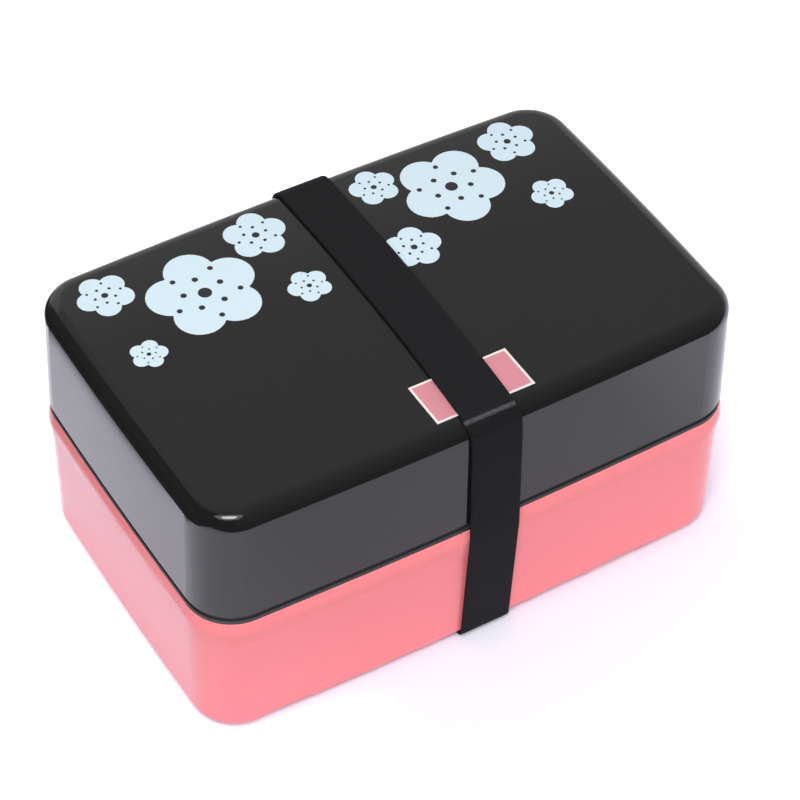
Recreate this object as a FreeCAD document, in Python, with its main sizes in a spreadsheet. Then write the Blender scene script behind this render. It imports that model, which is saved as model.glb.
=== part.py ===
import FreeCAD, Part
import math
import os

import Sketcher

# Two-tier bento lunch box: a pink lower tier, an upper tier under a deep lid, and an elastic band.
# Millimetres; +Z up from the table, +X along the length, -Y to the front.
doc = FreeCAD.newDocument("bento_box")
sizes = doc.addObject("Spreadsheet::Sheet", "Sizes")

DIMENSIONS = {
    # Outline of the lid's lower edge: a rectangle with gently bowed sides.
    "length": 176.0,
    "width": 112.0,
    "bulge_long": 1.6,
    "bulge_short": 0.95,
    "corner_radius": 14.5,
    # Lower tier
    "tier_height": 45.0,
    "tier_overhang": 0.6,
    "tier_draft": 0.7,
    "rim_band_height": 3.6,
    "rim_band_draft": 10.5,
    "rim_band_round": 6.0,
    "flare_height": 5.5,
    "flare_draft": 8.0,
    "flare_round": 20.0,
    "mouth_wall": 1.6,
    "mouth_depth": 7.4,
    "ledge_width": 1.0,
    "cavity_draft": 0.6,
    "tier_floor": 2.3,
    "floor_round": 4.0,
    "base_round": 2.0,
    "rim_round": 0.4,
    "foot_inset": 6.0,
    "foot_width": 3.0,
    "foot_round": 0.5,
    # Upper tier
    "flange_height": 1.3,
    "flange_setback": 0.17,
    "flange_round": 0.2,
    "neck_height": 1.73,
    "neck_setback": 0.5,
    "spigot_depth": 3.6,
    "spigot_clearance": 0.35,
    "spigot_round": 0.6,
    "step_height": 2.0,
    "upper_height": 31.4,
    "upper_wall": 2.0,
    "upper_draft": 1.5,
    "upper_floor": 2.2,
    # Outer lid
    "lid_height": 38.27,
    "lid_wall": 2.0,
    "lid_top": 2.2,
    "lid_draft": 1.5,
    "lid_round": 4.8,
    "lid_edge_round": 0.4,
    "lid_clearance": 0.6,
    "step_clearance": 0.4,
    # Inner lids and their seals
    "plate_thickness": 1.4,
    "plate_round": 0.5,
    "panel_margin": 8.0,
    "panel_depth": 0.5,
    "plug_clearance": 0.9,
    "skirt_wall": 2.2,
    "shoulder_height": 1.3,
    "groove_height": 2.0,
    "lip_height": 1.3,
    "groove_depth": 0.9,
    "seal_clearance": 0.3,
    "seal_gap": 0.08,
    "seal_round": 0.4,
    "grip_length": 34.0,
    "grip_width": 6.0,
    "grip_height": 1.4,
    # Divider
    "divider_thickness": 1.6,
    "divider_x": 20.0,
    "divider_reach": 45.0,
    "divider_clearance": 0.4,
    "divider_gap": 0.2,
    "divider_foot": 18.0,
    "divider_headroom": 0.9,
    # Elastic band
    "band_width": 16.5,
    "band_thickness": 0.9,
    "band_clearance": 0.25,
    "band_floor_gap": 0.45,
    "band_x": 1.5,
    "band_channel_gap": 3.0,
    "lap_low": 18.0,
    "lap_length": 18.0,
    "thread_radius": 0.25,
    "stitch_length": 1.7,
    "stitch_pitch": 2.1,
    "stitch_margin": 3.0,
    "stitch_gap": 0.02,
}
STITCHES_PER_ROW = 7
GRIP_END_SHARE = 0.45

# How closely an edge has to lie at a height, or along an outline, to be picked.
LEVEL_TOLERANCE = 0.02
OUTLINE_TOLERANCE = 0.05

for row, (alias, number) in enumerate(DIMENSIONS.items(), start=1):
    sizes.set(f"A{row}", str(number))
    sizes.setAlias(f"A{row}", alias)
doc.recompute()

# Heights above the table, as expressions of the sheet.
FOOT = "(Sizes.band_thickness + Sizes.band_clearance + Sizes.band_floor_gap)"
RIM = f"({FOOT} + Sizes.tier_height)"
RIM_BAND = f"({RIM} - Sizes.rim_band_height)"
FLARE = f"({RIM_BAND} - Sizes.flare_height)"
LEDGE = f"({RIM} - Sizes.mouth_depth)"
FLANGE_TOP = f"({RIM} + Sizes.flange_height)"
SPIGOT_BOTTOM = f"({RIM} - Sizes.spigot_depth)"
UPPER_FLOOR = f"({SPIGOT_BOTTOM} + Sizes.upper_floor)"
LID_SEAT = f"({FLANGE_TOP} + Sizes.neck_height)"
UPPER_RIM = f"({LID_SEAT} + Sizes.upper_height)"
LID_TOP = f"({LID_SEAT} + Sizes.lid_height)"
SKIRT = "(Sizes.shoulder_height + Sizes.groove_height + Sizes.lip_height)"

# Insets from the lid's lower outline, as expressions of the sheet.
BAND_INSET = "(-Sizes.tier_overhang)"
SIDE_HEIGHT = "(Sizes.tier_height - Sizes.rim_band_height - Sizes.flare_height)"
SIDE_INSET = f"({BAND_INSET} + tan(Sizes.flare_draft) * Sizes.flare_height)"
BASE_INSET = f"({SIDE_INSET} + tan(Sizes.tier_draft) * {SIDE_HEIGHT})"
RIM_INSET = f"({BAND_INSET} + tan(Sizes.rim_band_draft) * Sizes.rim_band_height)"
FLANGE_INSET = f"({RIM_INSET} + Sizes.flange_setback)"
NECK_INSET = f"({FLANGE_INSET} + Sizes.neck_setback)"
MOUTH_INSET = f"({RIM_INSET} + Sizes.mouth_wall)"
CAVITY_INSET = f"({MOUTH_INSET} + Sizes.ledge_width)"
SPIGOT_INSET = f"({MOUTH_INSET} + Sizes.spigot_clearance)"
LID_RISE_INSET = "(tan(Sizes.lid_draft) * Sizes.upper_height)"
UPPER_INSET = f"({LID_RISE_INSET} + Sizes.lid_wall + Sizes.lid_clearance)"
UPPER_CAVITY_INSET = f"({UPPER_INSET} + Sizes.upper_wall)"


def value(expression):
    return float(sizes.evalExpression(expression))


# The bowed outline: four shallow side arcs joined by tangent corner arcs.
LONG_RADIUS = "(Sizes.length ^ 2 / (8 * Sizes.bulge_long))"
SHORT_RADIUS = "(Sizes.width ^ 2 / (8 * Sizes.bulge_short))"
LONG_CENTRE = f"({LONG_RADIUS} - Sizes.width / 2)"
SHORT_CENTRE = f"({SHORT_RADIUS} - Sizes.length / 2)"


def corner_centre(long_radius, short_radius, corner_radius):
    """Centre of the corner arc that touches a long side arc and a short side arc."""
    long_y = -value(LONG_CENTRE)
    short_x = -value(SHORT_CENTRE)
    long_reach = long_radius - corner_radius
    short_reach = short_radius - corner_radius
    gap = math.hypot(short_x, long_y)
    along = (long_reach**2 - short_reach**2 + gap**2) / (2 * gap)
    aside = math.sqrt(long_reach**2 - along**2)
    ux = short_x / gap
    uy = -long_y / gap
    return uy * aside + ux * along, long_y + uy * along - ux * aside


def inset_of(x, y):
    """How far a point lies inside the lid's lower outline."""
    long_radius = value(LONG_RADIUS)
    short_radius = value(SHORT_RADIUS)
    corner = value("Sizes.corner_radius")
    cx, cy = corner_centre(long_radius, short_radius, corner)
    if abs(x) > cx and abs(y) > cy:
        return corner - math.hypot(abs(x) - cx, abs(y) - cy)
    from_long = long_radius - math.hypot(x, abs(y) + value(LONG_CENTRE))
    from_short = short_radius - math.hypot(abs(x) + value(SHORT_CENTRE), y)
    return min(from_long, from_short)


def new_body(name):
    body = doc.addObject("PartDesign::Body", name)
    body.Label = name
    return body


def new_sketch(body, name, plane, offset):
    """Sketch on one of the body's origin planes, moved along its normal."""
    sketch = body.newObject("Sketcher::SketchObject", f"{body.Name}_{name}")
    origin = [f for f in body.Origin.OriginFeatures if f.Role == plane][0]
    sketch.AttachmentSupport = [(origin, "")]
    sketch.MapMode = "FlatFace"
    sketch.setExpression("AttachmentOffset.Base.z", offset)
    return sketch


def bind(sketch, kind, places, expression):
    """Dimension of a sketch that follows an expression."""
    index = sketch.addConstraint(Sketcher.Constraint(kind, *places, value(expression)))
    sketch.setExpression(f"Constraints[{index}]", expression)


def add_outline(sketch, inset):
    """Bowed outline, drawn a stated distance inside the lid's lower outline."""
    inner = f"max(Sizes.corner_radius - ({inset}); 1)"
    long_radius = value(f"{LONG_RADIUS} - ({inset})")
    short_radius = value(f"{SHORT_RADIUS} - ({inset})")
    corner = value(inner)
    long_centre = value(LONG_CENTRE)
    short_centre = value(SHORT_CENTRE)
    cx, cy = corner_centre(long_radius, short_radius, corner)
    low = math.atan2(cy, cx + short_centre)
    high = math.atan2(cy + long_centre, cx)
    half = math.pi
    arcs = [
        ((-short_centre, 0), short_radius, -low, low),
        ((cx, cy), corner, low, high),
        ((0, -long_centre), long_radius, high, half - high),
        ((-cx, cy), corner, half - high, half - low),
        ((short_centre, 0), short_radius, half - low, half + low),
        ((-cx, -cy), corner, half + low, half + high),
        ((0, long_centre), long_radius, half + high, 2 * half - high),
        ((cx, -cy), corner, 2 * half - high, 2 * half - low),
    ]
    up = FreeCAD.Vector(0, 0, 1)
    first = sketch.GeometryCount
    for (x, y), radius, start, end in arcs:
        circle = Part.Circle(FreeCAD.Vector(x, y, 0), up, radius)
        sketch.addGeometry(Part.ArcOfCircle(circle, start, end), False)
    right, top, left, bottom = first, first + 2, first + 4, first + 6
    for step in range(8):
        after = first + (step + 1) % 8
        sketch.addConstraint(Sketcher.Constraint("Tangent", first + step, 2, after, 1))
    for side, axis in ((right, -1), (left, -1), (top, -2), (bottom, -2)):
        sketch.addConstraint(Sketcher.Constraint("PointOnObject", side, 3, axis))
    bind(sketch, "DistanceX", (right, 3, -1, 1), SHORT_CENTRE)
    bind(sketch, "DistanceX", (-1, 1, left, 3), SHORT_CENTRE)
    bind(sketch, "DistanceY", (top, 3, -1, 1), LONG_CENTRE)
    bind(sketch, "DistanceY", (-1, 1, bottom, 3), LONG_CENTRE)
    for side in (right, left):
        bind(sketch, "Radius", (side,), f"{SHORT_RADIUS} - ({inset})")
    for side in (top, bottom):
        bind(sketch, "Radius", (side,), f"{LONG_RADIUS} - ({inset})")
    for corner_arc in (first + 1, first + 3, first + 5, first + 7):
        bind(sketch, "Radius", (corner_arc,), inner)


def add_polygon(sketch, points):
    """Closed polygon whose corners follow pairs of expressions."""
    corners = [FreeCAD.Vector(value(x), value(y), 0) for x, y in points]
    first = sketch.GeometryCount
    count = len(points)
    for step in range(count):
        line = Part.LineSegment(corners[step], corners[(step + 1) % count])
        sketch.addGeometry(line, False)
    for step in range(count):
        after = first + (step + 1) % count
        sketch.addConstraint(Sketcher.Constraint("Coincident", first + step, 2, after, 1))
    for step, (x, y) in enumerate(points):
        bind(sketch, "DistanceX", (first + step, 1), x)
        bind(sketch, "DistanceY", (first + step, 1), y)


def add_rectangle(sketch, x_low, x_high, y_low, y_high):
    add_polygon(sketch, [(x_low, y_low), (x_high, y_low), (x_high, y_high), (x_low, y_high)])


def extrude(body, kind, sketch, length, flipped=False, taper=None):
    """Pad or Pocket of a sketch, with an optional draft."""
    feature = body.newObject(f"PartDesign::{kind}", f"{sketch.Name}_{kind.lower()}")
    feature.Profile = sketch
    feature.Reversed = flipped
    feature.setExpression("Length", length)
    if taper:
        feature.setExpression("TaperAngle", f"-{taper}")
    doc.recompute()
    return feature


def outline_extrude(body, name, kind, height, insets, length, flipped=False, taper=None):
    """Pad or Pocket of one bowed outline, or of the ring between two."""
    sketch = new_sketch(body, name, "XY_Plane", height)
    for inset in insets:
        add_outline(sketch, inset)
    return extrude(body, kind, sketch, length, flipped, taper)


def edges_at(shape, height, inset):
    """Names of the edges that run along an outline at a height."""
    found = []
    for number, edge in enumerate(shape.Edges, start=1):
        middle = edge.valueAt((edge.FirstParameter + edge.LastParameter) / 2)
        spread = max(abs(edge.BoundBox.ZMin - height), abs(edge.BoundBox.ZMax - height))
        aside = abs(inset_of(middle.x, middle.y) - inset)
        if spread < LEVEL_TOLERANCE and aside < OUTLINE_TOLERANCE:
            found.append(f"Edge{number}")
    return found


def round_edges(body, feature, names, radius):
    fillet = body.newObject("PartDesign::Fillet", f"{feature.Name}_round")
    fillet.Base = (feature, names)
    fillet.setExpression("Radius", radius)
    doc.recompute()
    return fillet


def round_outline(body, feature, height, inset, radius):
    names = edges_at(feature.Shape, value(height), value(inset))
    return round_edges(body, feature, names, radius)


# Lower tier: a drafted box whose side flares into a proud rim band, with a foot ring and a ledge for
# the inner lid.
lower_tier = new_body("lower_tier")
shell = outline_extrude(
    lower_tier, "shell", "Pad", FLARE, [SIDE_INSET], SIDE_HEIGHT, True, "Sizes.tier_draft"
)
round_outline(lower_tier, shell, FOOT, BASE_INSET, "Sizes.base_round")
outline_extrude(
    lower_tier, "flare", "Pad", RIM_BAND, [BAND_INSET], "Sizes.flare_height", True, "Sizes.flare_draft"
)
shell = outline_extrude(
    lower_tier,
    "rim_band",
    "Pad",
    RIM_BAND,
    [BAND_INSET],
    "Sizes.rim_band_height",
    taper="Sizes.rim_band_draft",
)
shell = round_outline(lower_tier, shell, FLARE, SIDE_INSET, "Sizes.flare_round")
shell = round_outline(lower_tier, shell, RIM_BAND, BAND_INSET, "Sizes.rim_band_round")
shell = round_outline(lower_tier, shell, RIM, RIM_INSET, "Sizes.rim_round")
shell = outline_extrude(
    lower_tier,
    "cavity",
    "Pocket",
    RIM,
    [CAVITY_INSET],
    "Sizes.tier_height - Sizes.tier_floor",
    taper="Sizes.cavity_draft",
)
cavity_depth = "(Sizes.tier_height - Sizes.tier_floor)"
shell = round_outline(
    lower_tier,
    shell,
    f"{FOOT} + Sizes.tier_floor",
    f"{CAVITY_INSET} + tan(Sizes.cavity_draft) * {cavity_depth}",
    "Sizes.floor_round",
)
outline_extrude(lower_tier, "mouth", "Pocket", RIM, [MOUTH_INSET], "Sizes.mouth_depth")
foot_outer = f"{BASE_INSET} + Sizes.foot_inset"
outline_extrude(
    lower_tier, "foot", "Pad", FOOT, [foot_outer, f"{foot_outer} + Sizes.foot_width"], FOOT, True
)
channel = new_sketch(lower_tier, "channel", "XY_Plane", "0")
channel_half = "(Sizes.band_width / 2 + Sizes.band_channel_gap)"
add_rectangle(
    channel,
    f"Sizes.band_x - {channel_half}",
    f"Sizes.band_x + {channel_half}",
    "-Sizes.width",
    "Sizes.width",
)
foot = extrude(lower_tier, "Pocket", channel, FOOT, True)
foot = round_outline(lower_tier, foot, "0", foot_outer, "Sizes.foot_round")
round_outline(lower_tier, foot, "0", f"{foot_outer} + Sizes.foot_width", "Sizes.foot_round")

# Upper tier: a drafted box whose base flange carries the lid on a narrower neck, which leaves a shadow
# line, and whose spigot enters the lower tier.
upper_tier = new_body("upper_tier")
tub = outline_extrude(
    upper_tier, "flange", "Pad", RIM, [FLANGE_INSET], "Sizes.flange_height"
)
round_outline(upper_tier, tub, FLANGE_TOP, FLANGE_INSET, "Sizes.flange_round")
outline_extrude(upper_tier, "neck", "Pad", FLANGE_TOP, [NECK_INSET], "Sizes.neck_height")
tub = outline_extrude(upper_tier, "spigot", "Pad", RIM, [SPIGOT_INSET], "Sizes.spigot_depth", True)
round_outline(upper_tier, tub, SPIGOT_BOTTOM, SPIGOT_INSET, "Sizes.spigot_round")
step_inset = "Sizes.lid_wall + Sizes.step_clearance"
outline_extrude(upper_tier, "step", "Pad", LID_SEAT, [step_inset], "Sizes.step_height")
outline_extrude(
    upper_tier, "wall", "Pad", UPPER_RIM, [UPPER_INSET], "Sizes.upper_height", True, "Sizes.upper_draft"
)
upper_depth = f"({UPPER_RIM} - {UPPER_FLOOR})"
tub = outline_extrude(
    upper_tier, "cavity", "Pocket", UPPER_RIM, [UPPER_CAVITY_INSET], upper_depth, taper="Sizes.upper_draft"
)
UPPER_FLOOR_INSET = f"({UPPER_CAVITY_INSET} + tan(Sizes.upper_draft) * {upper_depth})"
tub = round_outline(upper_tier, tub, UPPER_FLOOR, UPPER_FLOOR_INSET, "Sizes.floor_round")
tub = round_outline(upper_tier, tub, UPPER_RIM, UPPER_INSET, "Sizes.rim_round")
round_outline(upper_tier, tub, UPPER_RIM, UPPER_CAVITY_INSET, "Sizes.rim_round")

# Outer lid: a deep drafted cover with a rounded top edge, open below.
outer_lid = new_body("outer_lid")
cover = outline_extrude(
    outer_lid, "shell", "Pad", LID_SEAT, ["0"], "Sizes.lid_height", taper="Sizes.lid_draft"
)
lid_top_inset = "tan(Sizes.lid_draft) * Sizes.lid_height"
cover = round_outline(outer_lid, cover, LID_TOP, lid_top_inset, "Sizes.lid_round")
cover = round_outline(outer_lid, cover, LID_SEAT, "0", "Sizes.lid_edge_round")
lid_depth = "(Sizes.lid_height - Sizes.lid_top)"
cover = outline_extrude(
    outer_lid, "hollow", "Pocket", LID_SEAT, ["Sizes.lid_wall"], lid_depth, True, "Sizes.lid_draft"
)
round_outline(
    outer_lid,
    cover,
    f"{LID_SEAT} + {lid_depth}",
    f"Sizes.lid_wall + tan(Sizes.lid_draft) * {lid_depth}",
    "Sizes.lid_round - Sizes.lid_wall",
)


def build_inner_lid(name, seat, plate_inset, cavity_inset):
    """Soft lid: a plate on the seat, a plug skirt with a groove, a sunk panel and a grip bar."""
    body = new_body(name)
    plate = outline_extrude(body, "plate", "Pad", seat, [plate_inset], "Sizes.plate_thickness")
    plate_top = f"({seat} + Sizes.plate_thickness)"
    round_outline(body, plate, plate_top, plate_inset, "Sizes.plate_round")
    panel_inset = f"{plate_inset} + Sizes.panel_margin"
    outline_extrude(body, "panel", "Pocket", plate_top, [panel_inset], "Sizes.panel_depth")
    outer = f"{cavity_inset} + Sizes.plug_clearance"
    inner = f"{outer} + Sizes.skirt_wall"
    neck = f"{outer} + Sizes.groove_depth"
    groove_top = f"{seat} - Sizes.shoulder_height"
    lip_top = f"{groove_top} - Sizes.groove_height"
    outline_extrude(body, "shoulder", "Pad", seat, [outer, inner], "Sizes.shoulder_height", True)
    outline_extrude(body, "neck", "Pad", groove_top, [neck, inner], "Sizes.groove_height", True)
    outline_extrude(body, "lip", "Pad", lip_top, [outer, inner], "Sizes.lip_height", True)
    grip = new_sketch(body, "grip", "XY_Plane", f"{plate_top} - Sizes.panel_depth")
    add_rectangle(
        grip,
        "-Sizes.grip_length / 2",
        "Sizes.grip_length / 2",
        "-Sizes.grip_width / 2",
        "Sizes.grip_width / 2",
    )
    bar = extrude(body, "Pad", grip, "Sizes.grip_height + Sizes.panel_depth")
    half_length = value("Sizes.grip_length / 2")
    upright = []
    for number, edge in enumerate(bar.Shape.Edges, start=1):
        box = edge.BoundBox
        at_end = abs(abs(box.XMin) - half_length) < LEVEL_TOLERANCE and box.XLength < LEVEL_TOLERANCE
        if at_end and box.ZLength > value("Sizes.grip_height"):
            upright.append(f"Edge{number}")
    round_edges(body, bar, upright, f"Sizes.grip_width * {GRIP_END_SHARE}")
    return body


def build_seal(name, seat, cavity_inset, cavity_draft):
    """Silicone ring in an inner lid's groove, just clear of the tier's wall."""
    body = new_body(name)
    drop = "(Sizes.shoulder_height + Sizes.seal_gap)"
    height = "(Sizes.groove_height - 2 * Sizes.seal_gap)"
    wall_inset = f"{cavity_inset} + tan({cavity_draft}) * {SKIRT}"
    outer = f"{wall_inset} + Sizes.seal_clearance"
    inner = f"{cavity_inset} + Sizes.plug_clearance + Sizes.groove_depth - Sizes.seal_gap"
    ring = outline_extrude(body, "ring", "Pad", f"{seat} - {drop}", [outer, inner], height, True)
    ring = round_outline(body, ring, f"{seat} - {drop}", outer, "Sizes.seal_round")
    round_outline(body, ring, f"{seat} - {drop} - {height}", outer, "Sizes.seal_round")
    return body


# Inner lids and seals: one pair on the lower tier's ledge, one on the upper tier's rim.
ledge_inset = f"({CAVITY_INSET} + tan(Sizes.cavity_draft) * Sizes.mouth_depth)"
lower_inner_lid = build_inner_lid("lower_inner_lid", LEDGE, SPIGOT_INSET, ledge_inset)
lower_seal = build_seal("lower_seal", LEDGE, ledge_inset, "Sizes.cavity_draft")
upper_inner_lid = build_inner_lid("upper_inner_lid", UPPER_RIM, UPPER_INSET, UPPER_CAVITY_INSET)
upper_seal = build_seal("upper_seal", UPPER_RIM, UPPER_CAVITY_INSET, "Sizes.upper_draft")

# Divider: a drafted web on a flat foot, free to slide along the upper tier.
divider = new_body("divider")
divider_low = f"({UPPER_FLOOR} + Sizes.divider_gap)"
divider_high = f"({UPPER_RIM} - {SKIRT} - Sizes.divider_headroom)"
side_loss = "(Sizes.bulge_long * (2 * Sizes.divider_reach / Sizes.length) ^ 2)"
half_low = f"(Sizes.width / 2 - {UPPER_FLOOR_INSET} - {side_loss} - Sizes.divider_clearance)"
half_high = f"({half_low} + tan(Sizes.upper_draft) * ({divider_high} - {divider_low}))"
web_sketch = new_sketch(divider, "web", "YZ_Plane", "Sizes.divider_x - Sizes.divider_thickness / 2")
add_polygon(
    web_sketch,
    [
        (f"-{half_low}", divider_low),
        (half_low, divider_low),
        (half_high, divider_high),
        (f"-{half_high}", divider_high),
    ],
)
web = extrude(divider, "Pad", web_sketch, "Sizes.divider_thickness")
low_corners = []
for number, edge in enumerate(web.Shape.Edges, start=1):
    box = edge.BoundBox
    through = abs(box.XLength - value("Sizes.divider_thickness")) < LEVEL_TOLERANCE
    if through and box.ZMax < value(divider_low) + LEVEL_TOLERANCE:
        low_corners.append(f"Edge{number}")
round_edges(divider, web, low_corners, "Sizes.floor_round + Sizes.divider_clearance")
foot_sketch = new_sketch(divider, "foot", "XY_Plane", divider_low)
add_rectangle(
    foot_sketch,
    "Sizes.divider_x - Sizes.divider_foot / 2",
    "Sizes.divider_x + Sizes.divider_foot / 2",
    f"-{half_low} + 2 * Sizes.floor_round",
    f"{half_low} - 2 * Sizes.floor_round",
)
extrude(divider, "Pad", foot_sketch, "Sizes.divider_thickness")

# Elastic band: a loop round the stack the short way, doubled at the back where its ends lap.
elastic_band = new_body("elastic_band")
inner_low = f"({FOOT} - Sizes.band_clearance)"
inner_high = f"({LID_TOP} + Sizes.band_clearance)"
inner_base = f"(Sizes.width / 2 - {BASE_INSET} + Sizes.band_clearance)"
inner_lip = "(Sizes.width / 2 + Sizes.tier_overhang + Sizes.band_clearance)"
inner_top = f"(Sizes.width / 2 - {lid_top_inset} + Sizes.band_clearance)"
side_slope = f"(({inner_lip} - {inner_base}) / ({RIM_BAND} - {inner_low}))"
outer_low = f"({inner_low} - Sizes.band_thickness)"
outer_high = f"({inner_high} + Sizes.band_thickness)"
outer_base = f"({inner_base} + Sizes.band_thickness)"
outer_lip = f"({inner_lip} + Sizes.band_thickness)"
outer_top = f"({inner_top} + Sizes.band_thickness)"
lap_high = "(Sizes.lap_low + Sizes.lap_length)"


def band_back(height):
    """The band's outer face at the back, at a height on the lower tier's side."""
    return f"({outer_base} + {side_slope} * ({height} - {outer_low}))"


band_start = "Sizes.band_x - Sizes.band_width / 2"
strap_sketch = new_sketch(elastic_band, "strap", "YZ_Plane", band_start)
add_polygon(
    strap_sketch,
    [
        (f"-{outer_base}", outer_low),
        (outer_base, outer_low),
        (band_back("Sizes.lap_low"), "Sizes.lap_low"),
        (f"{band_back('Sizes.lap_low')} + Sizes.band_thickness", "Sizes.lap_low"),
        (f"{band_back(lap_high)} + Sizes.band_thickness", lap_high),
        (band_back(lap_high), lap_high),
        (outer_lip, RIM_BAND),
        (outer_top, outer_high),
        (f"-{outer_top}", outer_high),
        (f"-{outer_lip}", RIM_BAND),
    ],
)
strap = extrude(elastic_band, "Pad", strap_sketch, "Sizes.band_width")
inside_sketch = new_sketch(elastic_band, "inside", "YZ_Plane", band_start)
add_polygon(
    inside_sketch,
    [
        (f"-{inner_base}", inner_low),
        (inner_base, inner_low),
        (inner_lip, RIM_BAND),
        (inner_top, inner_high),
        (f"-{inner_top}", inner_high),
        (f"-{inner_lip}", RIM_BAND),
    ],
)
strap = extrude(elastic_band, "Pocket", inside_sketch, "Sizes.band_width", True)


def long_edges_near(shape, side, height):
    """Edges that run across the band's width at a corner of its section."""
    found = []
    for number, edge in enumerate(shape.Edges, start=1):
        box = edge.BoundBox
        across = abs(box.XLength - value("Sizes.band_width")) < LEVEL_TOLERANCE
        aside = max(abs(abs(box.YMin) - side), abs(box.ZMin - height))
        if across and aside < LEVEL_TOLERANCE:
            found.append(f"Edge{number}")
    return found


for side, height, radius in (
    (inner_base, inner_low, "Sizes.base_round"),
    (outer_base, outer_low, "Sizes.base_round + Sizes.band_thickness"),
    (inner_top, inner_high, "Sizes.lid_round"),
    (outer_top, outer_high, "Sizes.lid_round + Sizes.band_thickness"),
):
    names = long_edges_near(strap.Shape, value(side), value(height))
    strap = round_edges(elastic_band, strap, names, radius)

# Band stitching: two rows of thread across the lap, lying on its outer face.
stitches = []
for row_name, row_height in (
    ("low", "Sizes.lap_low + Sizes.stitch_margin"),
    ("high", f"{lap_high} - Sizes.stitch_margin"),
):
    for place in range(STITCHES_PER_ROW):
        stitch = doc.addObject("Part::Cylinder", f"stitch_{row_name}_{place}")
        shift = place - (STITCHES_PER_ROW - 1) / 2
        stitch.setExpression("Radius", "Sizes.thread_radius")
        stitch.setExpression("Height", "Sizes.stitch_length")
        stitch.Placement.Rotation = FreeCAD.Rotation(FreeCAD.Vector(0, 1, 0), 90)
        stitch.setExpression(
            "Placement.Base.x",
            f"Sizes.band_x + {shift} * Sizes.stitch_pitch - Sizes.stitch_length / 2",
        )
        on_lap = f"{band_back(row_height)} + Sizes.band_thickness + Sizes.thread_radius"
        stitch.setExpression("Placement.Base.y", f"{on_lap} + Sizes.stitch_gap")
        stitch.setExpression("Placement.Base.z", row_height)
        stitches.append(stitch)
band_stitching = doc.addObject("Part::Compound", "band_stitching")
band_stitching.Label = "band_stitching"
band_stitching.Links = stitches

# Check every object, then write one STEP file for each sub-part.
doc.recompute()
for item in doc.Objects:
    if "Invalid" in item.State or "Error" in item.State:
        raise RuntimeError(f"{item.Label} did not compute: {item.State}")
os.makedirs("parts", exist_ok=True)
nodes = [
    lower_tier,
    lower_inner_lid,
    lower_seal,
    upper_tier,
    divider,
    upper_inner_lid,
    upper_seal,
    outer_lid,
    elastic_band,
    band_stitching,
]
for node in nodes:
    if node.Shape.isNull() or not node.Shape.isValid():
        raise RuntimeError(f"{node.Label} has no valid shape")
    node.Shape.exportStep(f"parts/{node.Label}.step")
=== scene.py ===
import math

import bmesh
import bpy
from mathutils import Matrix, Vector


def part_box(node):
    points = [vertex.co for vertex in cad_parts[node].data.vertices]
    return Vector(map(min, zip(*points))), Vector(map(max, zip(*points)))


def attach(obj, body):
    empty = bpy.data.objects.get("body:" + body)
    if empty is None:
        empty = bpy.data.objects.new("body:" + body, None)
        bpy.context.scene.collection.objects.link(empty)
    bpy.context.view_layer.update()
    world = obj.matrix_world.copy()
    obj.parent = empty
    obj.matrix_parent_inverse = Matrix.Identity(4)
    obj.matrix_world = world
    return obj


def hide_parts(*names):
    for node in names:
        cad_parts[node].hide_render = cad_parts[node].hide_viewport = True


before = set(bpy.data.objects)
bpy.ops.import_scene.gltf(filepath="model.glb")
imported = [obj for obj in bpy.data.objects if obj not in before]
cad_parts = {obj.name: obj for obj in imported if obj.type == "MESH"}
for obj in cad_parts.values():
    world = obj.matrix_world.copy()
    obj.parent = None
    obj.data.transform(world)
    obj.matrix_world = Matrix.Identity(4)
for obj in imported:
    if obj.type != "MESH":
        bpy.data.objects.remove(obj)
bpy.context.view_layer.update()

# Lower tier. The pink box that everything stands on, injection-moulded in ABS and sprayed with a
# urethane coat. It rests on a moulded foot ring that leaves a channel for the elastic band.
MM = 0.001


def linear(code):
    """Linear colour of an sRGB hex code."""
    parts = [int(code[i : i + 2], 16) / 255 for i in (1, 3, 5)]
    return (*[p / 12.92 if p <= 0.04045 else ((p + 0.055) / 1.055) ** 2.4 for p in parts], 1.0)


def add(tree, kind, inputs=None, **settings):
    """Adds one shader node: settings are its properties, inputs its values or links."""
    made = tree.nodes.new(kind)
    for name, value in settings.items():
        setattr(made, name, value)
    for socket, value in (inputs or {}).items():
        if isinstance(value, bpy.types.NodeSocket):
            tree.links.new(value, made.inputs[socket])
        else:
            made.inputs[socket].default_value = value
    return made


def new_material(name):
    """A material with an empty node tree, its output node and its object coordinates."""
    material = bpy.data.materials.new(name)
    material.use_nodes = True
    tree = material.node_tree
    tree.nodes.clear()
    output = add(tree, "ShaderNodeOutputMaterial")
    place = add(tree, "ShaderNodeTexCoord").outputs["Object"]
    return material, tree, output, place


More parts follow.
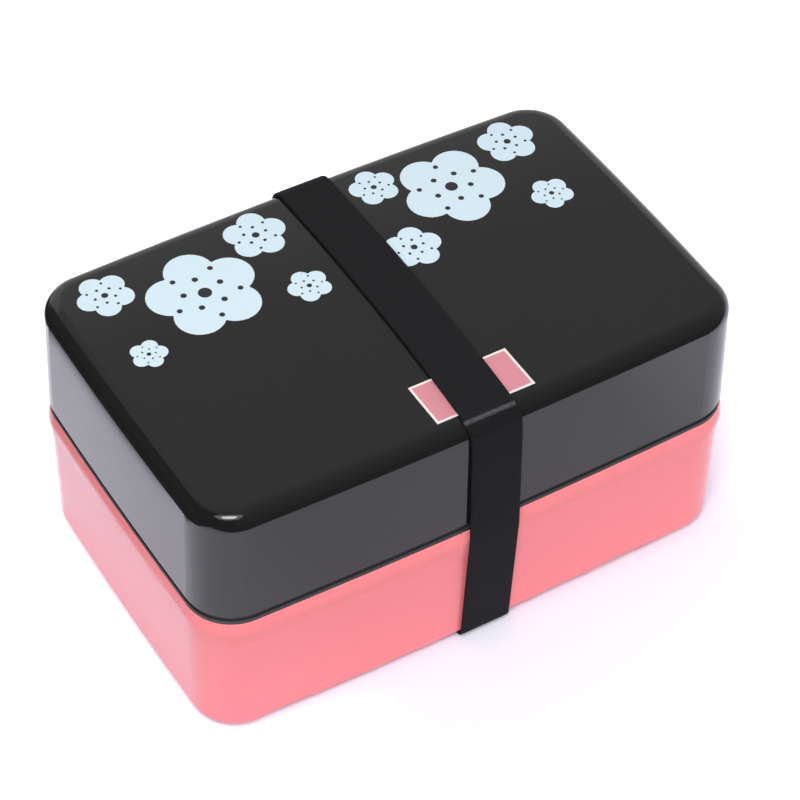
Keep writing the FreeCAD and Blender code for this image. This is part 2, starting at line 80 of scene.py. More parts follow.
def coated_abs(name, main, shade, roughness):
    """Lacquered ABS: an even colour and a clear mirror, with faint orange peel and hand smudges."""
    peel_mm, drift_mm, smudge_mm = 1.6, 45.0, 14.0
    material, tree, output, place = new_material(name)
    peel = add(tree, "ShaderNodeTexNoise", {"Vector": place, "Scale": 1 / (peel_mm * MM), "Detail": 1.0})
    drift = add(tree, "ShaderNodeTexNoise", {"Vector": place, "Scale": 1 / (drift_mm * MM), "Detail": 2.0})
    smudge = add(
        tree, "ShaderNodeTexNoise", {"Vector": place, "Scale": 1 / (smudge_mm * MM), "Detail": 2.0}
    )
    colour = add(
        tree,
        "ShaderNodeMix",
        {"Factor": drift.outputs["Fac"], "A": linear(main), "B": linear(shade)},
        data_type="RGBA",
    )
    gloss = add(
        tree,
        "ShaderNodeMapRange",
        {
            "Value": smudge.outputs["Fac"],
            "From Min": 0.3,
            "From Max": 0.7,
            "To Min": roughness * 0.94,
            "To Max": roughness * 1.08,
        },
    )
    bump = add(
        tree, "ShaderNodeBump", {"Height": peel.outputs["Fac"], "Strength": 0.1, "Distance": 0.03 * MM}
    )
    skin = add(
        tree,
        "ShaderNodeBsdfPrincipled",
        {
            "Base Color": colour.outputs["Result"],
            "Roughness": gloss.outputs["Result"],
            "Normal": bump.outputs["Normal"],
            "IOR": 1.5,
        },
    )
    tree.links.new(skin.outputs["BSDF"], output.inputs["Surface"])
    return material


def dress(node, material):
    """Puts a material on every slot of a CAD node."""
    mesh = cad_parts[node].data
    for slot in range(max(len(mesh.materials), 1)):
        if slot < len(mesh.materials):
            mesh.materials[slot] = material
        else:
            mesh.materials.append(material)


pink_coat = coated_abs("pink_coated_abs", "#F9868C", "#F88389", 0.16)
dress("lower_tier", pink_coat)

# Along the flare and the lip the pink is painted brighter and clearer, as painted light where the lip
# tilts up toward the lamps, and it mirrors less there. Why it mirrors less isn't known, so this follows
# the look alone.
tree = pink_coat.node_tree
place = add(tree, "ShaderNodeTexCoord").outputs["Object"]
height = add(tree, "ShaderNodeSeparateXYZ", {"Vector": place}).outputs["Z"]
painted_lip_band = add(
    tree,
    "ShaderNodeMapRange",
    {"Value": height, "From Min": 35 * MM, "From Max": 38.5 * MM},
    interpolation_type="SMOOTHSTEP",
).outputs["Result"]
level = add(tree, "ShaderNodeMapRange", {"Value": painted_lip_band, "To Min": 0.46, "To Max": 0.09})
skin = next(node for node in tree.nodes if node.type == "BSDF_PRINCIPLED")
# Painted light: a brighter, clearer pink mixed into the base colour along the flare and the lip.
clear = add(
    tree,
    "ShaderNodeMix",
    {"Factor": painted_lip_band, "A": skin.inputs["Base Color"].links[0].from_socket, "B": linear("#FF8F94")},
    data_type="RGBA",
)
tree.links.new(clear.outputs["Result"], skin.inputs["Base Color"])
tree.links.new(level.outputs["Result"], skin.inputs["Specular IOR Level"])

# Inner lids. Two soft drop-in lids, moulded in low-density polyethylene, which is slightly translucent and
# shines softly. Each plugs into its tier and has a sunk panel and a low grip bar. The frost on a real lid
# is finer than 0.1 mm, and is drawn coarser here so that it shows.
frost_mm, cloud_mm = 0.8, 30.0
glow_depth = 4 * MM
frosted_pe, tree, output, place = new_material("frosted_polyethylene")
grain = add(tree, "ShaderNodeTexNoise", {"Vector": place, "Scale": 1 / (frost_mm * MM), "Detail": 3.0})
cloud = add(tree, "ShaderNodeTexNoise", {"Vector": place, "Scale": 1 / (cloud_mm * MM), "Detail": 2.0})
milk = add(
    tree,
    "ShaderNodeMix",
    {"Factor": cloud.outputs["Fac"], "A": linear("#E9EEF0"), "B": linear("#DFE6E9")},
    data_type="RGBA",
)
frost = add(
    tree, "ShaderNodeBump", {"Height": grain.outputs["Fac"], "Strength": 0.2, "Distance": 0.03 * MM}
)
haze = add(
    tree,
    "ShaderNodeMapRange",
    {"Value": grain.outputs["Fac"], "From Min": 0.3, "From Max": 0.7, "To Min": 0.42, "To Max": 0.56},
)
skin = add(
    tree,
    "ShaderNodeBsdfPrincipled",
    {
        "Base Color": milk.outputs["Result"],
        "Roughness": haze.outputs["Result"],
        "Normal": frost.outputs["Normal"],
        "IOR": 1.51,
        "Subsurface Weight": 0.35,
        "Subsurface Radius": (glow_depth, glow_depth, glow_depth),
        "Subsurface Scale": 0.5,
    },
)
tree.links.new(skin.outputs["BSDF"], output.inputs["Surface"])
dress("lower_inner_lid", frosted_pe)
dress("upper_inner_lid", frosted_pe)

# Seals. Silicone rings, pressed by hand into the inner lids' grooves. Silicone is matt, a little
# milky, and picks up a trace of dust, whose specks are drawn coarse enough to show.
dust_mm = 0.6
milk_depth = 3 * MM
silicone, tree, output, place = new_material("milky_silicone")
dust = add(tree, "ShaderNodeTexNoise", {"Vector": place, "Scale": 1 / (dust_mm * MM), "Detail": 4.0})
tone = add(
    tree,
    "ShaderNodeMix",
    {"Factor": dust.outputs["Fac"], "A": linear("#F0F0EC"), "B": linear("#E2E3DF")},
    data_type="RGBA",
)
soft = add(
    tree, "ShaderNodeBump", {"Height": dust.outputs["Fac"], "Strength": 0.15, "Distance": 0.02 * MM}
)
skin = add(
    tree,
    "ShaderNodeBsdfPrincipled",
    {
        "Base Color": tone.outputs["Result"],
        "Roughness": 0.62,
        "Normal": soft.outputs["Normal"],
        "IOR": 1.41,
        "Subsurface Weight": 0.3,
        "Subsurface Radius": (milk_depth, milk_depth, milk_depth),
        "Subsurface Scale": 0.5,
    },
)
tree.links.new(skin.outputs["BSDF"], output.inputs["Surface"])
dress("lower_seal", silicone)
dress("upper_seal", silicone)

# Upper tier. The black box for side dishes, moulded in ABS. Its base flange is the narrow strip that
# shows between the pink tier and the cover, and its spigot drops into the pink tier's mouth. Its coat is
# satin, so it mirrors little.
dress("upper_tier", coated_abs("black_tier_abs", "#2A2A2D", "#272729", 0.5))

# Divider. A loose partition moulded in polypropylene, standing on its own foot across the upper tier.
# The mould's spark texture keeps it from clinging and gives it a satin look. The real texture is finer
# than 0.2 mm, and is drawn coarser here so that it shows.
spark_mm, flow_mm = 0.7, 25.0
spark_pp, tree, output, place = new_material("spark_textured_polypropylene")
spark = add(tree, "ShaderNodeTexNoise", {"Vector": place, "Scale": 1 / (spark_mm * MM), "Detail": 3.0})
flow = add(tree, "ShaderNodeTexNoise", {"Vector": place, "Scale": 1 / (flow_mm * MM), "Detail": 2.0})
tint = add(
    tree,
    "ShaderNodeMix",
    {"Factor": flow.outputs["Fac"], "A": linear("#F3C3C8"), "B": linear("#EEB9BF")},
    data_type="RGBA",
)
pits = add(
    tree, "ShaderNodeBump", {"Height": spark.outputs["Fac"], "Strength": 0.3, "Distance": 0.05 * MM}
)
skin = add(
    tree,
    "ShaderNodeBsdfPrincipled",
    {
        "Base Color": tint.outputs["Result"],
        "Roughness": 0.48,
        "Normal": pits.outputs["Normal"],
        "IOR": 1.49,
    },
)
tree.links.new(skin.outputs["BSDF"], output.inputs["Surface"])
dress("divider", spark_pp)

# Cover. The deep black lid over the upper tier, moulded in ABS and sprayed semi-gloss. It stands on
# the flange, and its sides mirror the pale table.
dress("outer_lid", coated_abs("black_coated_abs", "#1B1B1B", "#191919", 0.08))

# Print on the cover. Plum blossoms in pale blue ink with dark stamen dots, screen-printed on the flat
# top. The ink lies a few hundredths of a millimetre proud of the coat.
lid_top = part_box("outer_lid")[1][2]
ink_thick, ink_sink, ink_step = 0.04 * MM, 0.01 * MM, 0.02 * MM
petal_count, petal_steps, dot_steps = 5, 14, 20
petal_turn = 360 / petal_count


def placed(name, shape, material, smooth=False):
    """An object of one material made from a built shape, with its faces turned outward."""
    bmesh.ops.recalc_face_normals(shape, faces=shape.faces)
    for face in shape.faces:
        face.smooth = smooth
    mesh = bpy.data.meshes.new(name)
    shape.to_mesh(mesh)
    shape.free()
    mesh.materials.append(material)
    piece = bpy.data.objects.new(name, mesh)
    bpy.context.collection.objects.link(piece)
    return piece


def flat_piece(name, outlines, low, high, material):
    """Thin closed plates, one for each outline, between two heights."""
    shape = bmesh.new()
    for outline in outlines:
        count = len(outline)
        upper = [shape.verts.new((x, y, high)) for x, y in outline]
        lower = [shape.verts.new((x, y, low)) for x, y in outline]
        shape.faces.new(upper)
        shape.faces.new(lower[::-1])
        for i in range(count):
            j = (i + 1) % count
            shape.faces.new((lower[i], lower[j], upper[j], upper[i]))
    return placed(name, shape, material)


def screen_ink(name, main, shade, roughness):
    """Screen ink: opaque and satin, with the faint mottle of the mesh it was pressed through."""
    mottle_mm = 1.1
    material, tree, output, place = new_material(name)
    mottle = add(
        tree, "ShaderNodeTexNoise", {"Vector": place, "Scale": 1 / (mottle_mm * MM), "Detail": 4.0}
    )
    colour = add(
        tree,
        "ShaderNodeMix",
        {"Factor": mottle.outputs["Fac"], "A": linear(main), "B": linear(shade)},
        data_type="RGBA",
    )
    film = add(
        tree, "ShaderNodeBump", {"Height": mottle.outputs["Fac"], "Strength": 0.1, "Distance": 0.02 * MM}
    )
    skin = add(
        tree,
        "ShaderNodeBsdfPrincipled",
        {
            "Base Color": colour.outputs["Result"],
            "Roughness": roughness,
            "Normal": film.outputs["Normal"],
            "IOR": 1.48,
        },
    )
    tree.links.new(skin.outputs["BSDF"], output.inputs["Surface"])
    return material


def blossom(x, y, radius, turn):
    """Outline of a ring of round petals."""
    reach, petal = 0.56 * radius, 0.44 * radius
    points = []
    for number in range(petal_count):
        for step in range(petal_steps):
            off = math.radians(petal_turn * (step / petal_steps - 0.5))
            far = reach * math.cos(off) + math.sqrt(petal**2 - (reach * math.sin(off)) ** 2)
            angle = math.radians(turn + petal_turn * number) + off
            points.append((x + far * math.cos(angle), y + far * math.sin(angle)))
    return points


def disc(x, y, radius):
    """Outline of a round dot."""
    angles = [math.tau * step / dot_steps for step in range(dot_steps)]
    return [(x + radius * math.cos(angle), y + radius * math.sin(angle)) for angle in angles]


# Each blossom's place, radius and turn, in millimetres and degrees. Its stamens are two rings of dots, one
# for each petal, and a larger dot in the middle, as shares of its radius.
inner_ring, outer_ring, inner_dot, outer_dot, middle_dot = 0.36, 0.6, 0.055, 0.05, 0.12
blossoms = [
    (-44, 27, 17, 18),
    (-69, 40, 8.5, 40),
    (-20, 41, 9.5, 5),
    (-69, 13, 5.5, 60),
    (-17, 15, 6.5, 30),
    (40, 31, 16, 52),
    (20, 42, 7.5, 20),
    (65, 40, 9, 10),
    (64, 14, 6.5, 35),
    (17, 14, 8.5, 0),
]
petals, stamens = [], []
for x, y, radius, turn in blossoms:
    petals.append([(px * MM, py * MM) for px, py in blossom(x, y, radius, turn)])
    for number in range(petal_count):
        for share, size, offset in ((inner_ring, inner_dot, 0), (outer_ring, outer_dot, petal_turn / 2)):
            angle = math.radians(turn + petal_turn * number + offset)
            px = x + radius * share * math.cos(angle)
            py = y + radius * share * math.sin(angle)
            stamens.append(disc(px * MM, py * MM, radius * size * MM))
    stamens.append(disc(x * MM, y * MM, radius * middle_dot * MM))
ink_low = lid_top - ink_sink
ink_top = lid_top + ink_thick
pale_ink = screen_ink("pale_blue_screen_ink", "#D3E6F0", "#CDE1EC", 0.45)
dark_ink = screen_ink("black_screen_ink", "#202124", "#1B1C1F", 0.4)
blossom_print = flat_piece("blossom_print", petals, ink_low, ink_top, pale_ink)
stamen_print = flat_piece("stamen_print", stamens, ink_low, ink_top + ink_step, dark_ink)
for piece in (blossom_print, stamen_print):
    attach(piece, "cover")

# Label on the cover. A pink field with a fine white border, printed near the front edge and half
# hidden by the band. It is left bare.
label_low, label_high = Vector((-13.8, -49.6)), Vector((17.6, -33.9))
border_mm = 0.75


def corners(low, high, inset=0.0):
    """Corners of an upright rectangle in metres, drawn a little inside its limits."""
    x0, y0, x1, y1 = low.x + inset, low.y + inset, high.x - inset, high.y - inset
    return [(x * MM, y * MM) for x, y in ((x0, y0), (x1, y0), (x1, y1), (x0, y1))]


white_ink = screen_ink("white_screen_ink", "#F5E6E4", "#F0DFDD", 0.45)
pink_ink = screen_ink("pink_screen_ink", "#D58C96", "#D18691", 0.45)
label_border = flat_piece("label_border", [corners(label_low, label_high)], ink_low, ink_top, white_ink)
label_field = flat_piece(
    "label_field", [corners(label_low, label_high, border_mm)], ink_low, ink_top + ink_step, pink_ink
)
for piece in (label_border, label_field):
    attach(piece, "cover")

# Elastic band. A woven elastic strap, ribbed across its width, with firm selvedges. Its ends lap at the
# back, where two rows of stitches close the loop.
strap_thick = 0.9 * MM
strap_clear = 0.25 * MM
strap_wide = 16.5 * MM
rib_mm, rib_rise, rib_rows = 0.9, 0.045 * MM, 4
mid = strap_clear + strap_thick / 2

# What the strap lies on: half-widths and heights of the pink tier's base and lip, and of the cover.
tier_half, base_z, base_round = 55.39 * MM, 1.6 * MM, 2.0 * MM
rim_band = 3.6 * MM
lip_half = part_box("lower_tier")[1][1]
lip_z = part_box("lower_tier")[1][2] - rim_band
lid_low_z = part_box("outer_lid")[0][2]
top_half, lid_round = 55.0 * MM, 4.8 * MM
wall_slope = (lip_half - tier_half) / (lip_z - base_z)

# The lap at the back: its ends' heights, and how the outer end steps over the inner one.
lap_start, lap_end = 18 * MM, 36 * MM
lap_gap, lap_lead, lap_shift = 0.06 * MM, 6 * MM, 1 * MM
lap_step = strap_thick + lap_gap
lip_bend, lap_bend = 6 * MM, 4 * MM


def wall_y(z):
    """The strap's middle at the back, at a height on the pink tier's side."""
    return tier_half + mid + wall_slope * (z - base_z)


# Corners of the strap's route round the stack, as y, z and bend radius.
route = [
    (wall_y(lap_start), lap_start, 0),
    (lip_half + mid, lip_z, lip_bend),
    (top_half + mid, lid_top + mid, lid_round + mid),
    (-top_half - mid, lid_top + mid, lid_round + mid),
    (-lip_half - mid, lip_z, lip_bend),
    (-tier_half - mid, base_z - mid, base_round + mid),
    (tier_half + mid, base_z - mid, base_round + mid),
    (wall_y(lap_start - lap_lead), lap_start - lap_lead, lap_bend),
    (wall_y(lap_start) + lap_step, lap_start + lap_shift, lap_bend),
    (wall_y(lap_end) + lap_step, lap_end, 0),
]


def rounded(points, spacing):
    """Even samples along a route whose corners are rounded to their bend radii."""
    fine = []
    for i, (y, z, radius) in enumerate(points):
        here = Vector((y, z))
        if radius == 0 or i in (0, len(points) - 1):
            fine.append(here)
            continue
        before = (Vector(points[i - 1][:2]) - here).normalized()
        after = (Vector(points[i + 1][:2]) - here).normalized()
        half = before.angle(after) / 2
        reach = radius / math.tan(half)
        centre = here + (before + after).normalized() * radius / math.sin(half)
        start = here + before * reach - centre
        end = here + after * reach - centre
        sweep = start.angle_signed(end)
        steps = max(3, int(abs(sweep) * radius / spacing))
        for k in range(steps + 1):
            turned = Matrix.Rotation(-sweep * k / steps, 2) @ start
            fine.append(centre + turned)
    lengths = [0.0]
    for a, b in zip(fine, fine[1:]):
        lengths.append(lengths[-1] + (b - a).length)
    count = int(lengths[-1] / spacing)
    samples, seg = [], 0
    for k in range(count + 1):
        target = lengths[-1] * k / count
        while seg < len(lengths) - 2 and lengths[seg + 1] < target:
            seg += 1
        span = lengths[seg + 1] - lengths[seg]
        share = (target - lengths[seg]) / span if span else 0.0
        samples.append(fine[seg].lerp(fine[seg + 1], share))
    return samples, lengths[-1]


path, strap_length = rounded(route, rib_mm * MM / rib_rows)

# The strap's centre line strays along the box: from the middle at the base, on its way up the sides, and
# over the top, from the front edge to the back.
base_stray, climb_stray = 0.8 * MM, 0.022
front_stray, top_swing, top_bow = 0.45 * MM, 7.1 * MM, 5.8 * MM


def drift_x(y, z):
    """Where the strap's centre line lies along the box: a little askew over the top."""
    over = min(max((z - lid_low_z) / (lid_top - lid_low_z), 0), 1)
    side = min(max((y + top_half) / (2 * top_half), 0), 1)
    top_x = front_stray + top_swing * side - top_bow * side**2
    wall_x = base_stray + climb_stray * min(z, lip_z)
    return wall_x + (top_x - wall_x) * over**12


# Section of the strap: offsets across its width and through its thickness, and the share of the ribs' rise
# that each point takes.
columns = 9
selvedge, selvedge_rib = 0.5 * MM, 0.3
flat_half = strap_wide / 2 - selvedge
across = [flat_half * (2 * i / (columns - 1) - 1) for i in range(columns)]
turns = [math.radians(a) for a in (60, 0, -60)]
edge_arc = [(selvedge * math.cos(a), strap_thick / 2 * math.sin(a)) for a in turns]
ring = [(x, strap_thick / 2, 1.0) for x in across]
ring += [(flat_half + x, depth, selvedge_rib) for x, depth in edge_arc]
ring += [(x, -strap_thick / 2, 1.0) for x in reversed(across)]
ring += [(-flat_half - x, depth, selvedge_rib) for x, depth in reversed(edge_arc)]

# The strap folds sharply where it turns down over the cover's front edge, and the fold stands up
# as a crease.
crease_y, crease_z = -top_half + 1.6 * MM, lid_top - 0.3 * MM
crease_rise, crease_wide = 0.2 * MM, 0.8 * MM
shape = bmesh.new()
rows = []
for k, point in enumerate(path):
    ahead = path[min(k + 1, len(path) - 1)] - path[max(k - 1, 0)]
    ahead.normalize()
    outward = Vector((ahead.y, -ahead.x))
    rib = rib_rise * math.cos(math.tau * k / rib_rows)
    near = math.hypot(point.x - crease_y, point.y - crease_z)
    crease = crease_rise * math.exp(-((near / crease_wide) ** 2))
    x0 = drift_x(point.x, point.y)
    row = []
    for x, depth, ribbed in ring:
        lift = depth + (rib * ribbed + crease if depth > 0 else -rib * ribbed)
        spot = point + outward * lift
        row.append(shape.verts.new((x0 + x, spot.x, spot.y)))
    rows.append(row)
size = len(ring)
for a, b in zip(rows, rows[1:]):
    for i in range(size):
        j = (i + 1) % size
        shape.faces.new((a[i], a[j], b[j], b[i]))
shape.faces.new(rows[0])
shape.faces.new(rows[-1][::-1])

# Woven elastic: matt black yarn over rubber, a soft fuzz at grazing light, and fine yarns across the ribs,
# drawn about twice as coarse as real ones so that they show. The fold is painted paler, a painted sheen
# with a little wear.
yarn_mm, fuzz_mm = 0.8, 0.35
woven_elastic, tree, output, place = new_material("black_woven_elastic")
weave = add(
    tree,
    "ShaderNodeTexWave",
    {"Vector": place, "Scale": math.tau / (20 * yarn_mm * MM), "Distortion": 1.5, "Detail": 2.0},
    bands_direction="X",
)
fuzz = add(tree, "ShaderNodeTexNoise", {"Vector": place, "Scale": 1 / (fuzz_mm * MM), "Detail": 3.0})
mix = add(
    tree,
    "ShaderNodeMix",
    {"Factor": fuzz.outputs["Fac"], "A": linear("#131315"), "B": linear("#1C1C1F")},
    data_type="RGBA",
)
spot = add(tree, "ShaderNodeSeparateXYZ", {"Vector": place})
apart = add(tree, "ShaderNodeMath", {0: spot.outputs["Y"], 1: crease_y}, operation="SUBTRACT")
apart = add(tree, "ShaderNodeMath", {0: apart.outputs["Value"]}, operation="ABSOLUTE")
# Painted sheen: the fold across the strap is mixed paler, broken up by the fuzz like a little wear.
fold = add(
    tree,
    "ShaderNodeMapRange",
    {
        "Value": apart.outputs["Value"],
        "From Min": 0.1 * MM,
        "From Max": 0.9 * MM,
        "To Min": 1.0,
        "To Max": 0.0,
    },
    interpolation_type="SMOOTHSTEP",
)
above = add(tree, "ShaderNodeMath", {0: spot.outputs["Z"], 1: lid_low_z}, operation="GREATER_THAN")
worn_sheen = add(
    tree,
    "ShaderNodeMapRange",
    {"Value": fuzz.outputs["Fac"], "From Min": 0.3, "From Max": 0.65, "To Min": 0.3, "To Max": 1.0},
)
for share in (above.outputs["Value"], worn_sheen.outputs["Result"]):
    fold = add(tree, "ShaderNodeMath", {0: fold.outputs[0], 1: share}, operation="MULTIPLY")
mix = add(
    tree,
    "ShaderNodeMix",
    {"Factor": fold.outputs["Value"], "A": mix.outputs["Result"], "B": linear("#58585B")},
    data_type="RGBA",
)
yarns = add(
    tree,
    "ShaderNodeMath",
    {0: weave.outputs["Fac"], 1: 0.35, 2: fuzz.outputs["Fac"]},
    operation="MULTIPLY_ADD",
)
relief = add(
    tree, "ShaderNodeBump", {"Height": yarns.outputs["Value"], "Strength": 0.5, "Distance": 0.08 * MM}
)
skin = add(
    tree,
    "ShaderNodeBsdfPrincipled",
    {
        "Base Color": mix.outputs["Result"],
        "Roughness": 0.78,
        "Normal": relief.outputs["Normal"],
        "IOR": 1.45,
        "Specular IOR Level": 0.25,
    },
)
tree.links.new(skin.outputs["BSDF"], output.inputs["Surface"])
strap = placed("elastic_strap", shape, woven_elastic, smooth=True)
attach(strap, "band")
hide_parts("elastic_band")

# Stitches. Black polyester thread in two rows across the lap. Each stitch rises from the weave, lies
# on it and dips back in. The twisted plies catch the light as slanting strands of painted highlight, drawn
# coarser than real ones so that they show.
thread_radius = 0.22 * MM
stitch_long, stitch_pitch, stitch_count = 1.7 * MM, 2.1 * MM, 7
stitch_steps, thread_sides = 8, 8
crown, dip = 0.8 * thread_radius, 2.2 * thread_radius
row_inset = 3 * MM
ply_mm = 1.2
polyester, tree, output, place = new_material("black_polyester_thread")
ply = add(
    tree,
    "ShaderNodeTexWave",
    {"Vector": place, "Scale": math.tau / (10 * ply_mm * MM), "Distortion": 0.5},
    bands_direction="DIAGONAL",
)
# Painted highlight: paler slanting bands mixed into the thread's black.
ply_sheen = add(
    tree,
    "ShaderNodeMix",
    {"Factor": ply.outputs["Fac"], "A": linear("#2A2A2C"), "B": linear("#3A3A3D")},
    data_type="RGBA",
)
strands = add(
    tree, "ShaderNodeBump", {"Height": ply.outputs["Fac"], "Strength": 0.5, "Distance": 0.05 * MM}
)
skin = add(
    tree,
    "ShaderNodeBsdfPrincipled",
    {
        "Base Color": ply_sheen.outputs["Result"],
        "Roughness": 0.5,
        "Normal": strands.outputs["Normal"],
        "IOR": 1.55,
    },
)
tree.links.new(skin.outputs["BSDF"], output.inputs["Surface"])
shape = bmesh.new()
for height in (lap_start + row_inset, lap_end - row_inset):
    face_y = wall_y(height) + lap_step + strap_thick / 2
    for number in range(stitch_count):
        centre_x = drift_x(face_y, height) + (number - (stitch_count - 1) / 2) * stitch_pitch
        rings = []
        for step in range(stitch_steps + 1):
            share = -1 + 2 * step / stitch_steps
            x = centre_x + share * stitch_long / 2
            y = face_y + crown - dip * share**4
            around = []
            for side in range(thread_sides):
                angle = math.tau * side / thread_sides
                out, along = thread_radius * math.cos(angle), thread_radius * math.sin(angle)
                around.append(shape.verts.new((x, y + out, height + along)))
            rings.append(around)
        for a, b in zip(rings, rings[1:]):
            for i in range(thread_sides):
                j = (i + 1) % thread_sides
                shape.faces.new((a[i], a[j], b[j], b[i]))
        shape.faces.new(rings[0])
        shape.faces.new(rings[-1][::-1])
stitches = placed("lap_stitches", shape, polyester, smooth=True)
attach(stitches, "band")
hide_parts("band_stitching")

# Table. A sheet of white paper lies under the box, with a painted glow that shows it white where no shadow
# falls and brighter to the left, the right and the back. Past its left and front edges the table is dull
# and mirrors dark in the cover, though a painted glow that only the camera sees makes it pale.
table_half = 4.0
paper, tree, output, place = new_material("white_paper")

# The sheet's brightness is a painted glow: it is only seen, straight or mirrored, and lights nothing.
rays = add(tree, "ShaderNodeLightPath")
seen = rays.outputs["Is Camera Ray"]
for kind in ("Is Glossy Ray", "Is Transmission Ray"):
    seen = add(tree, "ShaderNodeMath", {0: seen, 1: rays.outputs[kind]}, operation="MAXIMUM").outputs[0]

# The sheet's left edge lies askew, and toward the photographer it swings out, so that the cover's near
# corner mirrors no dark.
swing_from, swing_soft = 25 * MM, 20 * MM
left_slope, swing_slope = -0.085, -1.0
spot = add(tree, "ShaderNodeSeparateXYZ", {"Vector": place})
nearer = add(tree, "ShaderNodeMath", {0: spot.outputs["Y"], 1: swing_from}, operation="SUBTRACT")
nearer = add(
    tree, "ShaderNodeMath", {0: nearer.outputs["Value"], 1: 0.0, 2: swing_soft}, operation="SMOOTH_MIN"
)
slant = spot.outputs["X"]
for way, slope in ((spot.outputs["Y"], left_slope), (nearer.outputs["Value"], swing_slope)):
    slant = add(tree, "ShaderNodeMath", {0: way, 1: slope, 2: slant}, operation="MULTIPLY_ADD").outputs[0]
sheet_left = add(
    tree, "ShaderNodeMapRange", {"Value": slant, "From Min": -130.9 * MM, "From Max": -129.7 * MM}
)
sheet_front = add(
    tree,
    "ShaderNodeMapRange",
    {"Value": spot.outputs["Y"], "From Min": -160 * MM, "From Max": -153.5 * MM},
)
sheet = add(
    tree,
    "ShaderNodeMath",
    {0: sheet_left.outputs["Result"], 1: sheet_front.outputs["Result"]},
    operation="MULTIPLY",
)

# How bright the sheet's painted glow is along the table, in millimetres: to the left, less so toward the
# photographer, to the right and at the back. The glow is painted darker close under the box's edge, a
# painted contact shadow.
left_glow, near_fade, right_glow, back_glow = (
    add(
        tree,
        "ShaderNodeMapRange",
        {
            "Value": spot.outputs[axis],
            "From Min": start * MM,
            "From Max": end * MM,
            "To Min": low,
            "To Max": high,
        },
    ).outputs["Result"]
    for axis, start, end, low, high in (
        ("X", -88, -30, 0.87, 0.19),
        ("Y", -50, 80, 0.72, 1.0),
        ("X", 80, 130, 0.0, 0.68),
        ("Y", 0, 120, 0.0, 1.0),
    )
)
glow = add(tree, "ShaderNodeMath", {0: left_glow, 1: near_fade}, operation="MULTIPLY")
for share in (right_glow, back_glow):
    glow = add(tree, "ShaderNodeMath", {0: glow.outputs["Value"], 1: share}, operation="MAXIMUM")
# Painted contact shadow: ambient occlusion dims the glow close to the box.
contact_shade = add(tree, "ShaderNodeAmbientOcclusion", {"Distance": 9 * MM}, samples=8)
for share in (sheet.outputs["Value"], contact_shade.outputs["AO"], seen):
    glow = add(tree, "ShaderNodeMath", {0: glow.outputs["Value"], 1: share}, operation="MULTIPLY")
# Past the sheet the dull table is given a painted glow that only the camera sees.
beyond_glow = add(tree, "ShaderNodeMapRange", {"Value": sheet.outputs["Value"], "To Min": 1.2, "To Max": 0.0})
glow = add(
    tree,
    "ShaderNodeMath",
    {0: beyond_glow.outputs["Result"], 1: rays.outputs["Is Camera Ray"], 2: glow.outputs["Value"]},
    operation="MULTIPLY_ADD",
)
tone = add(
    tree,
    "ShaderNodeMix",
    {"Factor": sheet.outputs["Value"], "A": linear("#4A4A4D"), "B": linear("#E9E9F5")},
    data_type="RGBA",
)
matt = add(
    tree,
    "ShaderNodeBsdfPrincipled",
    {
        "Base Color": tone.outputs["Result"],
        "Roughness": 0.9,
        "Specular IOR Level": 0.0,
        "Emission Color": linear("#E9EAF8"),
        "Emission Strength": glow.outputs["Value"],
    },
)
tree.links.new(matt.outputs["BSDF"], output.inputs["Surface"])
shape = bmesh.new()
edges = ((-1, -1), (1, -1), (1, 1), (-1, 1))
shape.faces.new([shape.verts.new((x * table_half, y * table_half, 0)) for x, y in edges])
table = placed("table", shape, paper)

# Studio. A dim room, dark to the left, under a pale ceiling that fades toward the photographer. A white
# backdrop stands behind the box, and a pale skirting runs along the sides and the back.
world = bpy.data.worlds.new("dim_studio")
bpy.context.scene.world = world
world.use_nodes = True
tree = world.node_tree
tree.nodes.clear()
output = add(tree, "ShaderNodeOutputWorld")
way = add(tree, "ShaderNodeTexCoord").outputs["Generated"]
ways = add(tree, "ShaderNodeSeparateXYZ", {"Vector": way})
ceiling = add(
    tree,
    "ShaderNodeMapRange",
    {"Value": ways.outputs["Y"], "From Min": -0.9, "From Max": 0.6, "To Min": 0.14, "To Max": 0.42},
)
rise = add(tree, "ShaderNodeMath", {0: ways.outputs["Y"], 1: ways.outputs["Z"]}, operation="SUBTRACT")
backdrop = add(
    tree,
    "ShaderNodeMapRange",
    {"Value": rise.outputs["Value"], "From Min": -0.05, "From Max": 0.02, "To Min": 0.0, "To Max": 0.55},
)
light = add(
    tree, "ShaderNodeMath", {0: ceiling.outputs["Result"], 1: backdrop.outputs["Result"]}, operation="ADD"
)
dark_side = add(
    tree,
    "ShaderNodeMapRange",
    {"Value": ways.outputs["X"], "From Min": -0.36, "From Max": -0.2, "To Min": 0.1, "To Max": 1.0},
)
skirting = add(
    tree,
    "ShaderNodeMapRange",
    {"Value": ways.outputs["Z"], "From Min": 0.06, "From Max": 0.1, "To Min": 0.6, "To Max": 0.0},
)
behind = add(tree, "ShaderNodeMapRange", {"Value": ways.outputs["Y"], "From Min": -0.3, "From Max": -0.1})
skirting = add(
    tree,
    "ShaderNodeMath",
    {0: skirting.outputs["Result"], 1: behind.outputs["Result"]},
    operation="MULTIPLY",
)
light = add(
    tree, "ShaderNodeMath", {0: light.outputs["Value"], 1: skirting.outputs["Value"]}, operation="MAXIMUM"
)
light = add(
    tree,
    "ShaderNodeMath",
    {0: light.outputs["Value"], 1: dark_side.outputs["Result"]},
    operation="MULTIPLY",
)
room = add(tree, "ShaderNodeBackground", {"Color": (1, 1, 1, 1), "Strength": light.outputs["Value"]})
tree.links.new(room.outputs["Background"], output.inputs["Surface"])


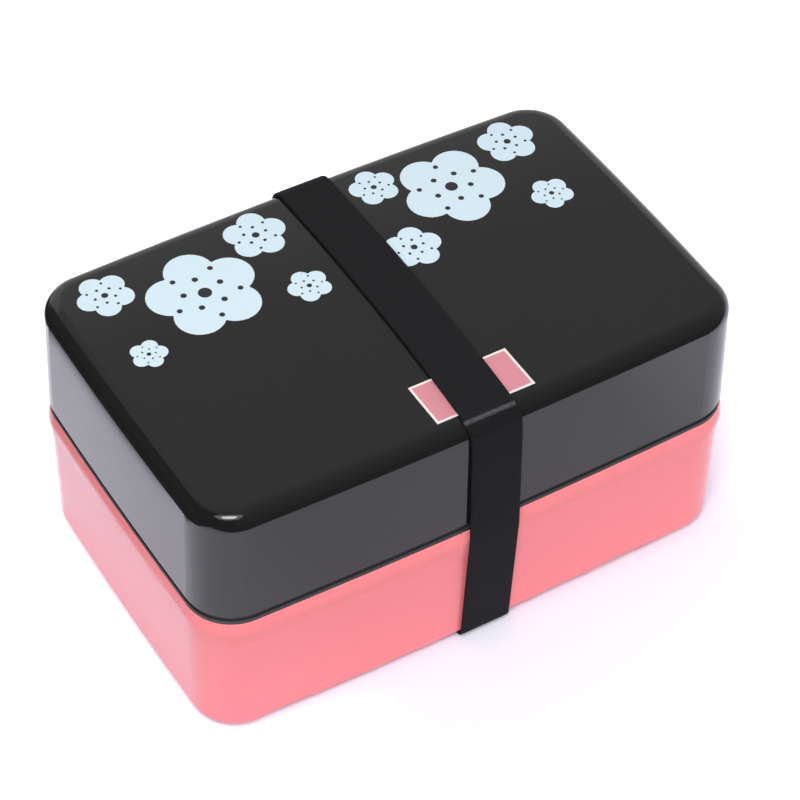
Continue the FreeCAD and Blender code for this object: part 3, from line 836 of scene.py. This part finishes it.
# Lamps. A large softbox over the photographer with a brighter middle, which the cover's near corner
# mirrors, and three soft fills that are kept out of the reflections.
def soft_lamp(name, place, aim, wide, high, power, mirrored):
    """An oval softbox at a place, turned to a point, in metres and watts."""
    lamp = bpy.data.lights.new(name, "AREA")
    lamp.shape = "ELLIPSE"
    lamp.size = wide
    lamp.size_y = high
    lamp.energy = power
    holder = bpy.data.objects.new(name, lamp)
    bpy.context.collection.objects.link(holder)
    holder.location = place
    direction = Vector(aim) - Vector(place)
    holder.rotation_euler = direction.to_track_quat("-Z", "Y").to_euler()
    holder.visible_glossy = mirrored


soft_lamp("key_lamp", (-0.318, -0.509, 1.04), (0, 0, 0.06), 0.9, 0.65, 3.2, True)
soft_lamp("key_core", (-0.317, -0.507, 1.037), (0, 0, 0.06), 0.46, 0.3, 4.4, True)
soft_lamp("fill_lamp", (-0.75, -0.75, 0.7), (0, 0, 0.06), 0.8, 0.8, 5.8, False)
soft_lamp("side_lamp", (-0.55, 0.05, 0.95), (-0.05, 0, 0.04), 0.5, 0.5, 1.6, False)
soft_lamp("front_lamp", (0.45, -0.35, 0.25), (0.04, 0, 0.04), 0.3, 0.3, 0.9, False)

# Camera. The photograph's view, solved from the outlines of the tiers and the cover: its turn, rise and
# roll in degrees, how far it stands away, and the point that it looks at.
azimuth, elevation, roll = (math.radians(a) for a in (-31.780, 45.719, 1.379))
distance = 853.48 * MM
aim = Vector((4.068, -1.186, 45.11)) * MM
back = Vector((math.sin(azimuth), -math.cos(azimuth), math.tan(elevation))) * math.cos(elevation)
right = Vector((math.cos(azimuth), math.sin(azimuth), 0))
up = back.cross(right)
right, up = (
    right * math.cos(roll) + up * math.sin(roll),
    up * math.cos(roll) - right * math.sin(roll),
)
lens = bpy.data.cameras.new("photo_view")
lens.sensor_width = 36
lens.lens = 131.14
lens.clip_start = 0.01
camera = bpy.data.objects.new("photo_view", lens)
bpy.context.collection.objects.link(camera)
turn = Matrix((right, up, back)).transposed().to_4x4()
camera.matrix_world = Matrix.Translation(aim + back * distance) @ turn
bpy.context.scene.camera = camera
bpy.context.scene.view_settings.view_transform = "Standard"

bpy.context.view_layer.update()
